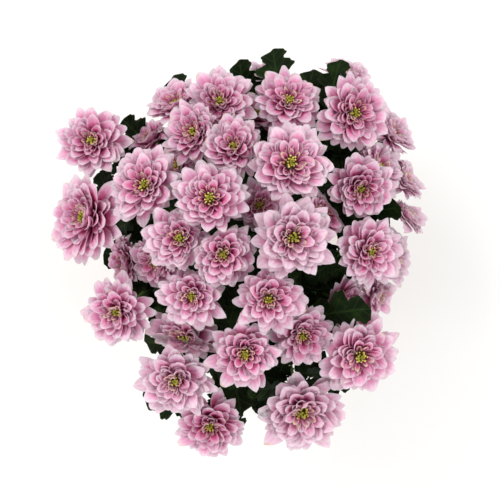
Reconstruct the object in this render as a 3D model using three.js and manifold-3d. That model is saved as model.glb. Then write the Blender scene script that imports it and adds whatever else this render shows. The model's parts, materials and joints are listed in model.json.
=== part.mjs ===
// A potted chrysanthemum: a plain clay pot filled with potting mix, five rooted cuttings whose stems
// branch into flowering shoots, one double flower head on each stalk, and the broad lobed leaves that
// reach out between the heads.
// Millimetres, +Z up. The origin is the middle of the pot's foot, and the front faces -Y.

import * as THREE from "three";
import { mergeVertices } from "three/addons/utils/BufferGeometryUtils.js";
import Module from "manifold-3d";

const wasm = await Module();
wasm.setup();

// Driving dimensions
const FIT_GAP = 0.3; // between two pieces that touch
const WELD = 1e-3; // vertices nearer than this are one
const SMALLEST_DETAIL = 0.02; // anything finer is smoothed away
const POT = {
  height: 140,
  rimRadius: 80,
  footRadius: 54,
  wall: 7,
  floor: 9,
  bandHeight: 28,
  bandStep: 4,
  bandDraft: 1, // how much narrower the band's foot is than its top
  edgeRound: 2,
  drainHoles: 3,
  drainRadius: 5,
  drainCircle: 30,
  drainSides: 8,
  facets: 36,
};
const SOIL = { top: 121, crownRise: 3, flatShare: 0.55 };
const STEM = {
  rootDepth: 26, // how far a cutting stands in the mix
  rootSides: 6,
  straightRise: 6, // how far it goes on straight above the mix
  riseFoot: 5, // where its curve to the pinch begins, above the mix
  riseBend: 16,
  pinchRise: 32, // where the tip was pinched out, above the mix
  pinchSpread: 1.15, // how much further out that is than the crown
  mainRadius: 3.4,
  shootRadius: 2.5,
  stalkRadius: 1.8,
  knuckle: 1.25, // the swelling where it branches, as a share of the stem below
  sides: 5,
  steps: 5,
  samples: 40, // points looked at along a stem, to find where a leaf springs from it
  sampleMargin: 4, // and those left out at each end
  forkShare: 0.5, // of the way from the pinch to the shoot's flowers
  bendShare: 0.3, // where a shoot bends, along its way, and how much higher that is
  bendRise: 0.25,
  stalkLeave: 0.3, // how long a stalk keeps its shoot's direction, as a share of its reach
  stalkArrive: 0.35, // and its flower's
};
const HEAD = {
  footRadius: 3,
  height: 22,
  cup: [9, 5], // the green cup's radius and height
  rimHeights: [13, 18], // the petals' rim, lowest and highest
  rimTaper: 0.97,
  dome: [0.66, 25], // the highest petals, as a share of the radius, and their height
  eye: [0.2, 1], // the eye's edge, as a share of the radius, and its rise over the middle
  middle: 15, // the height at which neighbours press on each other
  nearby: 4, // how far apart two heads may be and still be tested
  facets: 10,
};
const LEAF = { thickness: 1.2, droop: 0.1 };

// Where each cutting stands on the mix, [x, y]
const CROWNS = {
  front_left: [-24, -22],
  front_right: [24, -22],
  back_right: [24, 22],
  back_left: [-24, 22],
  middle: [0, 0],
};

// Flower heads by shoot: the middle of the eye [x, y, z], the width across the petals, how many degrees
// the head leans from upright, and how far that lean turns from straight outward, anticlockwise.
const SHOOTS = {
  front_left_1: [
    [-111, -63, 262, 62, 22, 0],
    [-112, -20, 226, 48, 58, 0],
    [-80, -22, 252, 52, 40, 20],
  ],
  front_left_2: [
    [-44, -48, 302, 58, 16, 0],
    [-52, -87, 248, 70, 30, -20],
  ],
  front_left_3: [
    [-59, -122, 262, 68, 16, 0],
    [-30, -167, 226, 62, 22, 0],
    [2, -97, 290, 64, 16, 0],
  ],
  front_right_1: [
    [52, -84, 268, 58, 24, 0],
    [52, -151, 240, 78, 20, 0],
    [22, -50, 314, 60, 12, 0],
  ],
  front_right_2: [
    [92, -60, 230, 50, 48, 0],
    [102, -101, 256, 70, 24, 0],
    [126, -52, 214, 52, 62, 0],
  ],
  front_right_3: [
    [110, -10, 282, 62, 26, 0],
    [137, -18, 226, 56, 56, 0],
    [145, 4, 196, 52, 76, 0],
  ],
  back_right_1: [
    [101, 43, 280, 62, 22, -80],
    [71, 24, 276, 56, 26, 0],
    [152, 26, 206, 56, 68, 0],
  ],
  back_right_2: [
    [124, 67, 236, 56, 50, 0],
    [150, 56, 208, 54, 66, 0],
    [138, 100, 212, 54, 62, 0],
  ],
  back_right_3: [
    [40, 123, 264, 60, 24, 0],
    [97, 110, 262, 66, 20, -60],
    [100, 152, 206, 52, 58, 0],
  ],
  back_left_1: [
    [-134, 88, 242, 62, 14, 0],
    [-89, 97, 216, 46, 60, 0],
    [-84, 47, 294, 66, 18, 0],
  ],
  back_left_2: [
    [-138, 20, 252, 76, 40, 0],
    [-60, 67, 256, 52, 30, 0],
  ],
  back_left_3: [
    [-44, 93, 280, 60, 34, 40],
    [-62, 125, 232, 56, 52, 0],
    [-21, 121, 268, 62, 24, 0],
  ],
  back_left_4: [
    [12, 117, 228, 50, 40, 0],
    [22, 161, 206, 36, 54, 0],
    [-8, 80, 302, 58, 18, 0],
  ],
  middle_1: [
    [-28, 35, 318, 64, 10, 0],
    [-17, -12, 314, 60, 6, 0],
    [-53, 2, 308, 66, 14, 0],
  ],
  middle_2: [
    [40, 64, 312, 72, 16, 20],
    [42, 2, 324, 72, 8, 0],
    [14, 31, 272, 50, 10, 0],
  ],
};

// Broad leaves by cutting: the tip [x, y, z], the point [x, y, z] that it springs from the stem nearest to,
// and its width.
const LEAVES = {
  back_left: [
    [-72, 156, 196, -44, 92, 188, 40],
    [-10, 168, 214, 8, 110, 190, 40],
    [-107, 112, 178, -80, 60, 200, 38],
  ],
  back_right: [
    [20, 180, 210, 37, 112, 232, 42],
    [60, 162, 218, 47, 94, 209, 42],
    [84, 170, 222, 60, 112, 222, 40],
    [142, 34, 248, 98, 18, 200, 40],
  ],
  front_right: [
    [118, -52, 264, 46, -60, 238, 42],
    [-37, -68, 270, 22, -46, 262, 38],
  ],
  front_left: [[6, -166, 208, -8, -98, 216, 44]],
};

// Each finish is a colour and a roughness.
const FINISHES = {
  clay: [0xb5643c, 0.85],
  mix: [0x2e2018, 1],
  stem: [0x4a6a2c, 0.6],
  leaf: [0x24401a, 0.5],
  petal: [0xdc9fc4, 0.7],
};

// Solids and meshes

// A closed geometry as a solid that can be joined and cut.
function solidOf(geometry) {
  const plain = new THREE.BufferGeometry().setAttribute("position", geometry.getAttribute("position"));
  plain.setIndex(geometry.index);
  const merged = mergeVertices(plain, WELD);
  return new wasm.Manifold(
    new wasm.Mesh({
      numProp: 3,
      vertProperties: merged.attributes.position.array,
      triVerts: new Uint32Array(merged.index.array),
    }),
  );
}

// A solid as a geometry.
function geometryOf(solid) {
  const mesh = solid.getMesh();
  return new THREE.BufferGeometry()
    .setAttribute("position", new THREE.BufferAttribute(new Float32Array(mesh.vertProperties), 3))
    .setIndex(new THREE.BufferAttribute(new Uint32Array(mesh.triVerts), 1));
}

// The largest of the bodies that a cut leaves.
function largestOf(solid) {
  return solid.decompose().reduce((a, b) => (b.volume() > a.volume() ? b : a));
}

// A profile of [radius, height] pairs turned about Z.
function turned(profile, facets) {
  const points = profile.map(([r, z]) => new THREE.Vector2(r, z));
  return new THREE.LatheGeometry(points, facets).rotateX(Math.PI / 2);
}

// Pot and mix

// The inside radius of the pot at a height.
function potInside(z) {
  const outside = POT.footRadius + (POT.rimRadius - POT.bandStep - POT.footRadius) * (z / POT.height);
  return outside - POT.wall;
}

function potSolid() {
  const bandFoot = POT.height - POT.bandHeight;
  const bodyTop = potInside(bandFoot) + POT.wall;
  const profile = [
    [0, 0],
    [POT.footRadius - POT.edgeRound, 0],
    [POT.footRadius, POT.edgeRound],
    [bodyTop, bandFoot - POT.bandStep / 2],
    [POT.rimRadius - POT.bandDraft, bandFoot],
    [POT.rimRadius, POT.height - POT.edgeRound],
    [POT.rimRadius - POT.edgeRound, POT.height],
    [potInside(POT.height) + POT.edgeRound, POT.height],
    [potInside(POT.height), POT.height - POT.edgeRound],
    [potInside(POT.floor), POT.floor],
    [0, POT.floor],
  ];
  let pot = solidOf(turned(profile, POT.facets));
  for (let i = 0; i < POT.drainHoles; i++) {
    const angle = (2 * Math.PI * i) / POT.drainHoles + Math.PI / 2;
    const drain = new THREE.CylinderGeometry(POT.drainRadius, POT.drainRadius, 3 * POT.floor, POT.drainSides)
      .rotateX(Math.PI / 2)
      .translate(POT.drainCircle * Math.cos(angle), POT.drainCircle * Math.sin(angle), 0);
    pot = pot.subtract(solidOf(drain));
  }
  return pot;
}

// The mix fills the pot and rises a little towards the crowns. Each cutting stands in a socket of its own.
function soilSolid() {
  const low = POT.floor + FIT_GAP;
  const edge = SOIL.top - SOIL.crownRise;
  const profile = [
    [0, low],
    [potInside(low) - FIT_GAP, low],
    [potInside(edge) - FIT_GAP, edge],
    [potInside(edge) * SOIL.flatShare, SOIL.top],
    [0, SOIL.top],
  ];
  let soil = solidOf(turned(profile, POT.facets));
  for (const crown of Object.values(CROWNS)) soil = soil.subtract(rootedPart(crown, FIT_GAP));
  return soil;
}

// Stems

// The straight part of a cutting that stands in the mix, wider and deeper by room.
function rootedPart([x, y], room = 0) {
  const radius = STEM.mainRadius + room;
  const low = SOIL.top - STEM.rootDepth - room;
  const length = STEM.rootDepth + room + STEM.straightRise;
  const peg = new THREE.CylinderGeometry(radius, radius, length, STEM.rootSides).rotateX(Math.PI / 2);
  return solidOf(peg.translate(x, y, low + length / 2));
}

// Which way a head faces.
function faceOf([x, y, , , lean, turn]) {
  const outward = Math.atan2(y, x) + THREE.MathUtils.degToRad(turn);
  const angle = THREE.MathUtils.degToRad(lean);
  return new THREE.Vector3(
    Math.sin(angle) * Math.cos(outward),
    Math.sin(angle) * Math.sin(outward),
    Math.cos(angle),
  );
}

// Where the stalk meets the head.
function footOf(head) {
  return new THREE.Vector3(head[0], head[1], head[2]).addScaledVector(faceOf(head), -HEAD.height);
}

function cuttingOf(shoot) {
  return shoot.replace(/_\d+$/, "");
}

// The point where the cutting's tip was pinched out and its shoots begin.
function pinchOf(cutting) {
  const [x, y] = CROWNS[cutting];
  return new THREE.Vector3(x * STEM.pinchSpread, y * STEM.pinchSpread, SOIL.top + STEM.pinchRise);
}

// The point where a shoot divides into its flower stalks.
function forkOf(shoot) {
  const feet = SHOOTS[shoot].map(footOf);
  const middle = feet.reduce((sum, foot) => sum.add(foot), new THREE.Vector3()).divideScalar(feet.length);
  return pinchOf(cuttingOf(shoot)).lerp(middle, STEM.forkShare);
}

function shootRoute(shoot) {
  const pinch = pinchOf(cuttingOf(shoot));
  const fork = forkOf(shoot);
  const bend = pinch.clone().lerp(fork, STEM.bendShare);
  bend.z += STEM.bendRise * (fork.z - pinch.z);
  return new THREE.QuadraticBezierCurve3(pinch, bend, fork);
}

function stalkRoute(shoot, head) {
  const start = forkOf(shoot);
  const end = footOf(head).addScaledVector(faceOf(head), -FIT_GAP);
  const reach = start.distanceTo(end);
  const leaves = shootRoute(shoot).getTangent(1);
  return new THREE.CubicBezierCurve3(
    start,
    start.clone().addScaledVector(leaves, STEM.stalkLeave * reach),
    end.clone().addScaledVector(faceOf(head), -STEM.stalkArrive * reach),
    end,
  );
}

function tube(route, radius) {
  const ring = new THREE.Shape();
  for (let i = 0; i < STEM.sides; i++) {
    const angle = (2 * Math.PI * i) / STEM.sides;
    const point = [radius * Math.cos(angle), radius * Math.sin(angle)];
    if (i === 0) ring.moveTo(...point);
    else ring.lineTo(...point);
  }
  const settings = { steps: STEM.steps, bevelEnabled: false, extrudePath: route };
  return solidOf(new THREE.ExtrudeGeometry(ring, settings));
}

function knuckle(point, radius) {
  return solidOf(new THREE.IcosahedronGeometry(radius, 0).translate(point.x, point.y, point.z));
}

// One cutting with its shoots and flower stalks, thicker by room.
function stemSolid(cutting, room = 0) {
  const [x, y] = CROWNS[cutting];
  const pinch = pinchOf(cutting);
  const ground = new THREE.Vector3(x, y, SOIL.top + STEM.riseFoot);
  const bend = new THREE.Vector3(x, y, SOIL.top + STEM.riseBend);
  const rise = new THREE.QuadraticBezierCurve3(ground, bend, pinch);
  let stem = rootedPart(CROWNS[cutting], room).add(tube(rise, STEM.mainRadius + room));
  stem = stem.add(knuckle(pinch, STEM.mainRadius * STEM.knuckle + room));
  for (const shoot of shootsOf(cutting)) {
    stem = stem.add(tube(shootRoute(shoot), STEM.shootRadius + room));
    stem = stem.add(knuckle(forkOf(shoot), STEM.shootRadius * STEM.knuckle + room));
    for (const head of SHOOTS[shoot]) stem = stem.add(tube(stalkRoute(shoot, head), STEM.stalkRadius + room));
  }
  return stem;
}

function shootsOf(cutting) {
  return Object.keys(SHOOTS).filter((shoot) => cuttingOf(shoot) === cutting);
}

// Flower heads

// A head's outside: the stalk's end, the green cup under it, the spread petals and the hollow of the eye.
function headSolid(head, room = 0) {
  const radius = head[3] / 2 + room;
  const profile = [
    [0, -room],
    [HEAD.footRadius + room, -room],
    [HEAD.cup[0] + room, HEAD.cup[1] - room],
    [radius, HEAD.rimHeights[0] - room],
    [radius * HEAD.rimTaper, HEAD.rimHeights[1] + room],
    [radius * HEAD.dome[0], HEAD.dome[1] + room],
    [radius * HEAD.eye[0], HEAD.height + HEAD.eye[1] + room],
    [0, HEAD.height + room],
  ];
  const geometry = turned(profile, HEAD.facets);
  const turn = new THREE.Quaternion().setFromUnitVectors(new THREE.Vector3(0, 0, 1), faceOf(head));
  const foot = footOf(head);
  return solidOf(geometry.applyQuaternion(turn).translate(foot.x, foot.y, foot.z));
}

// Two heads that press on each other meet in a flat face half way.
function pressTogether(heads) {
  const middles = heads.map(({ row }) => footOf(row).addScaledVector(faceOf(row), HEAD.middle));
  heads.forEach((a, i) => {
    heads.slice(i + 1).forEach((b, k) => {
      const between = middles[i + 1 + k].clone().sub(middles[i]);
      if (between.length() > (a.row[3] + b.row[3]) / 2 + HEAD.nearby) return;
      if (a.solid.intersect(b.solid).volume() === 0) return;
      const share = a.row[3] / (a.row[3] + b.row[3]);
      const normal = between.clone().normalize();
      const offset = middles[i].dot(normal) + between.length() * share;
      a.solid = a.solid.trimByPlane(normal.clone().negate().toArray(), -(offset - FIT_GAP / 2));
      b.solid = b.solid.trimByPlane(normal.toArray(), offset + FIT_GAP / 2);
    });
  });
}

// Leaves

// A lobed leaf's outline as [share of the length, share of half the width], from stalk to tip.
const LEAF_EDGE = [
  [0, 0.07],
  [0.26, 0.08],
  [0.36, 0.5],
  [0.42, 0.86],
  [0.5, 0.78],
  [0.53, 0.42],
  [0.62, 0.86],
  [0.72, 1],
  [0.76, 0.6],
  [0.78, 0.4],
  [0.88, 0.56],
  [0.94, 0.36],
];

// The point of a cutting's shoots and stalks that lies nearest to a place.
function nearestOnStem(cutting, place) {
  const points = shootsOf(cutting).flatMap((shoot) => {
    const routes = [shootRoute(shoot), ...SHOOTS[shoot].map((head) => stalkRoute(shoot, head))];
    return routes.flatMap((route) =>
      route.getPoints(STEM.samples).slice(STEM.sampleMargin, -STEM.sampleMargin),
    );
  });
  return points.reduce((a, b) => (b.distanceTo(place) < a.distanceTo(place) ? b : a));
}

function leafSolid(cutting, [x, y, z, fromX, fromY, fromZ, width], room = 0) {
  const tip = new THREE.Vector3(x, y, z);
  const base = nearestOnStem(cutting, new THREE.Vector3(fromX, fromY, fromZ));
  const reach = base.distanceTo(tip);
  const outline = new THREE.Shape();
  const half = LEAF_EDGE.map(([a, b]) => [a * reach, (b * width) / 2 + room]);
  const edge = [...half, [reach + room, 0], ...half.map(([a, b]) => [a, -b]).reverse()];
  edge.forEach(([a, b], i) => (i === 0 ? outline.moveTo(a, b) : outline.lineTo(a, b)));
  const thickness = LEAF.thickness + 2 * room;
  const geometry = new THREE.ExtrudeGeometry(outline, { depth: thickness, bevelEnabled: false });
  geometry.translate(0, 0, -thickness / 2);
  // The blade arches in a parabola that is highest half way along.
  const position = geometry.getAttribute("position");
  for (let i = 0; i < position.count; i++) {
    const along = position.getX(i) / reach;
    const arch = 4 * LEAF.droop * reach * along * (1 - along);
    position.setZ(i, position.getZ(i) + arch);
  }
  const forward = tip.clone().sub(base).normalize();
  const side = new THREE.Vector3(0, 0, 1).cross(forward).normalize();
  const normal = forward.clone().cross(side);
  const frame = new THREE.Matrix4().makeBasis(forward, side, normal).setPosition(base);
  return solidOf(geometry.applyMatrix4(frame));
}

// The whole plant in its pot

const group = new THREE.Group();

function place(name, solid, [color, roughness]) {
  const material = new THREE.MeshStandardMaterial({ color, roughness, metalness: 0 });
  const mesh = new THREE.Mesh(geometryOf(solid.simplify(SMALLEST_DETAIL)), material);
  mesh.name = name;
  group.add(mesh);
}

place("pot", potSolid(), FINISHES.clay);
place("potting_mix", soilSolid(), FINISHES.mix);

const stemsWithRoom = [];
for (const cutting of Object.keys(CROWNS)) {
  place(`stem_${cutting}`, stemSolid(cutting), FINISHES.stem);
  stemsWithRoom.push(stemSolid(cutting, FIT_GAP));
}

const heads = [];
for (const [shoot, rows] of Object.entries(SHOOTS)) {
  rows.forEach((row, i) => {
    heads.push({ name: `flower_${shoot}_${i + 1}`, row, solid: headSolid(row) });
  });
}
pressTogether(heads);
for (const head of heads) {
  for (const stem of stemsWithRoom) {
    if (head.solid.intersect(stem).volume() > 0) head.solid = largestOf(head.solid.subtract(stem));
  }
  place(head.name, head.solid, FINISHES.petal);
}

const taken = [...stemsWithRoom, ...heads.map(({ row }) => headSolid(row, FIT_GAP))];
for (const [cutting, rows] of Object.entries(LEAVES)) {
  rows.forEach((row, i) => {
    let leaf = leafSolid(cutting, row);
    for (const other of taken) {
      if (leaf.intersect(other).volume() > 0) leaf = largestOf(leaf.subtract(other));
    }
    taken.push(leafSolid(cutting, row, FIT_GAP));
    place(`leaf_${cutting}_${i + 1}`, leaf, FINISHES.leaf);
  });
}

export default group;
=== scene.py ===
"""A pink double chrysanthemum in a plain clay pot, seen from straight above."""

import json
import math
import random

import bmesh
import bpy
import numpy as np
from mathutils import Matrix, Vector

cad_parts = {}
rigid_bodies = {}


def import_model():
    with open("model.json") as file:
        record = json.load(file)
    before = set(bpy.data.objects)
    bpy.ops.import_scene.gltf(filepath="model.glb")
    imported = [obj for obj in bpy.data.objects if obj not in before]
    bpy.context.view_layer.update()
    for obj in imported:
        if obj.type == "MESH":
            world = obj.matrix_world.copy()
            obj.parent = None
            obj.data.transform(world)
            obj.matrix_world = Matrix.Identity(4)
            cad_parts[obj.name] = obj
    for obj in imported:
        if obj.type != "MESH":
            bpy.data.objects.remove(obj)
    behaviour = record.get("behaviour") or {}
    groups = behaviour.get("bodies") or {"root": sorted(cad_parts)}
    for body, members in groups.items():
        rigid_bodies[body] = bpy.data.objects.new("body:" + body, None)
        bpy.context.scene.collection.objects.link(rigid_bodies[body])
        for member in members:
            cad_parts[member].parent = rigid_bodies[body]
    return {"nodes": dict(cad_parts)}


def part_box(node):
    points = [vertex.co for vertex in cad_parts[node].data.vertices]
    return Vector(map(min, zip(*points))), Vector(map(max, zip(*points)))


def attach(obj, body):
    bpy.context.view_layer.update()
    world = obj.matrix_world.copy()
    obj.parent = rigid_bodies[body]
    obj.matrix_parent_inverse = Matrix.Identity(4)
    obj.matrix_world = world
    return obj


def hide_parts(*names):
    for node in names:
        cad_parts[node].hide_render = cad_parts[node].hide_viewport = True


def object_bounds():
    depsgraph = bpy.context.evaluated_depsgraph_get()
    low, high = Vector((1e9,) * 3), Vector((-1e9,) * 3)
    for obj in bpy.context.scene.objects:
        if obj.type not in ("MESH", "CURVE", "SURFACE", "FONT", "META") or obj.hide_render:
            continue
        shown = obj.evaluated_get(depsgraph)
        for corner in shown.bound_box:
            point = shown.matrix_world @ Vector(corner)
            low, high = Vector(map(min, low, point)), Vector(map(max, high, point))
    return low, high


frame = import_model()
cad_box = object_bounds()

MM = 0.001
UP = Vector((0, 0, 1))
GOLDEN_ANGLE = math.radians(137.508)  # from one petal, bract or leaf to the next round the stem

# Camera: straight above the pot, a little to its front right
CAMERA_HEIGHT = 1.55
CAMERA_BESIDE = (0.0059, -0.0025)
LENS_MM = 107.1

# Four soft lights round the plant, in metres and watts, and the light of the room
LIGHTS = {
    "back left": ((-1.2, 1.1, 1.9), 25),
    "back right": ((1.4, 1.1, 1.7), 17),
    "front right": ((1.4, -1.1, 1.6), 17),
    "front left": ((-1.4, -1.2, 1.6), 17),
}
LIGHT_SIZE = 1.3
LIGHT_AIM = Vector((0, 0, 0.25))
ROOM_LIGHT = 0.5
FLOOR_DROP = 0.2 * MM  # the floor's top lies this far under the pot's foot

# The construction that the CAD stems and heads follow
HEAD_FOOT_RADIUS = 3 * MM
HEAD_FACETS = 10
HEAD_HEIGHT = 22 * MM
SAME_WAY = 0.9995  # the least cosine between the normals of faces that lie in one plane
SAME_PLANE = 0.05 * MM
HEAD_MIDDLE = 15 * MM  # from a head's foot to the height at which neighbours meet
STEM_IN_MIX = 10 * MM
STALK_IN_HEAD = 0.3 * MM
PINCH_RISE = 32 * MM  # above the mix
PINCH_SPREAD = 1.15
FORK_SHARE = 0.5
BEND_SHARE = 0.3  # how far along its way to the fork a shoot bends
BEND_RISE = 0.25  # how far above the straight way it bends, as a share of the way's height
STALK_LEAVES = 0.3  # how far a stalk keeps its shoot's direction, as a share of its reach
STALK_ARRIVES = 0.35  # and how far it has its head's
STEM_RADIUS = {"main": 3.4 * MM, "shoot": 2.5 * MM, "stalk": 1.5 * MM}
STEM_TAPER = {"main": 0.95, "shoot": 0.8, "stalk": 0.9}  # the radius at the far end, as a share
STEM_POINTS = {"main": 16, "shoot": 16, "stalk": 20}

# The pot and what fills it
POT_FOOT_RADIUS = 54 * MM
POT_WALL = 7 * MM
POT_FLOOR = 9 * MM
POT_FACETS = 128
RIM_BAND = 28 * MM  # the thick rim's height
RIM_STEP = 4 * MM  # how far the rim stands out from the wall
DRAIN_RADIUS = 5 * MM
DRAIN_PLACE = 30 * MM  # from the pot's middle to each hole's
RING_SPACING = 2.6 * MM  # of the faint rings that throwing leaves
MIX_FACETS = 96
MIX_EDGE_DROP = 3 * MM
CRUMB_SHAPES = 3

# Flower heads, for one 60 mm across
MODEL_HEAD_RADIUS = 30 * MM
PETALS_PER_HEAD = 88
PETALS_FEWER = 8
PETALS_MORE = 6
FLORETS_PER_HEAD = 24
BRACTS_PER_HEAD = 22
OUTER_TILT = (1, 18)  # degrees above the head's own plane, for the outermost petals
INNER_TILT = (50, 68)  # and for the innermost
RAGGEDNESS = (0.14, 0.28)  # how far a petal strays from its tilt, in radians
FADING = 0.05  # how far any head's colour strays towards white or deeper
FULL_TURN = 6.28  # the most that a random spin turns, in radians
VARIANTS = 4
PETAL_ROWS = 7
PETAL_COLUMNS = 4
ROW_CROWDING = 0.8  # below 1, the rows of a petal's grid crowd towards its tip
PETAL_THICKNESS = 0.4 * MM
TURN_STRAY = 0.2  # how far a petal or floret strays round the head, in radians
SIZE_SPREAD = (0.82, 1.12)
SECOND_DRAW = 57.0  # added to a head's seed for its second set of random draws

# Petals from the outside in. Lengths and widths in mm; claw is the foot's share of the width; roll is how
# far each edge rolls up, in radians, at foot and tip; bend is how far the petal curves up, low down and at
# its tip; point is how far the tip's middle reaches out, or is notched where it is below 0.
PETAL_SHAPES = [
    {"length": 26.5, "width": 11.8, "claw": 0.34, "roll": (0.6, 0.3), "bend": (0.15, -0.4), "point": 0.01},
    {"length": 24.5, "width": 13, "claw": 0.34, "roll": (0.8, 0.45), "bend": (0.25, -0.45), "point": -0.01},
    {"length": 21.5, "width": 12.5, "claw": 0.34, "roll": (1.1, 0.75), "bend": (0.35, -0.45), "point": -0.01},
    {"length": 17, "width": 10.5, "claw": 0.4, "roll": (1.7, 1.15), "bend": (0.4, -0.4), "point": -0.01},
    {"length": 11.5, "width": 6.8, "claw": 0.6, "roll": (2.4, 1.7), "bend": (0.2, -0.1), "point": 0.0},
]
# Older flowers, whose colour has faded towards white
FADED_HEADS = {
    "flower_middle_2_2": 0.14,
    "flower_front_right_1_2": 0.1,
    "flower_front_right_1_1": 0.05,
    "flower_front_left_3_1": 0.08,
    "flower_front_right_2_2": 0.06,
    "flower_front_left_2_2": 0.08,
    "flower_back_right_2_2": 0.2,
    "flower_back_right_3_3": 0.22,
    "flower_back_left_4_2": 0.25,
    "flower_back_right_1_3": 0.22,
    "flower_back_right_2_1": 0.12,
    "flower_back_right_2_3": 0.15,
    "flower_front_right_3_2": 0.2,
    "flower_front_right_3_3": 0.24,
    "flower_front_right_2_3": 0.2,
}
BRACT_SHAPE = {
    "length": 7.5,
    "width": 3.2,
    "claw": 0.9,
    "roll": (0.6, 0.6),
    "bend": (0.5, -0.2),
    "point": 0.2,
}


# Materials


def colour(code):
    """A linear colour from an sRGB hex code."""
    parts = [int(code[i : i + 2], 16) / 255 for i in (1, 3, 5)]
    return [c / 12.92 if c <= 0.04045 else ((c + 0.055) / 1.055) ** 2.4 for c in parts] + [1.0]


def add(tree, kind, inputs=None, **settings):
    """Adds a node with its settings, and fills or links its inputs."""
    new = tree.nodes.new(kind)
    for name, value in settings.items():
        setattr(new, name, value)
    for key, value in (inputs or {}).items():
        if isinstance(value, bpy.types.NodeSocket):
            tree.links.new(value, new.inputs[key])
        else:
            new.inputs[key].default_value = value
    return new


def tinted(ramp, stops):
    """A colour ramp's output, once it has these stops of position and hex code."""
    ramp.color_ramp.interpolation = "EASE"
    while len(ramp.color_ramp.elements) < len(stops):
        ramp.color_ramp.elements.new(0.5)
    for element, (position, code) in zip(ramp.color_ramp.elements, stops):
        element.position = position
        element.color = colour(code)
    return ramp.outputs["Color"]


def material(name):
    """A new material and its empty node tree."""
    made = bpy.data.materials.new(name)
    made.use_nodes = True
    made.node_tree.nodes.clear()
    return made, made.node_tree


def finished(made, looks):
    """The material, with a shader of these looks at the end of its tree."""
    shader = add(made.node_tree, "ShaderNodeBsdfPrincipled", looks)
    add(made.node_tree, "ShaderNodeOutputMaterial", {"Surface": shader.outputs[0]})
    return made


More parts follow.
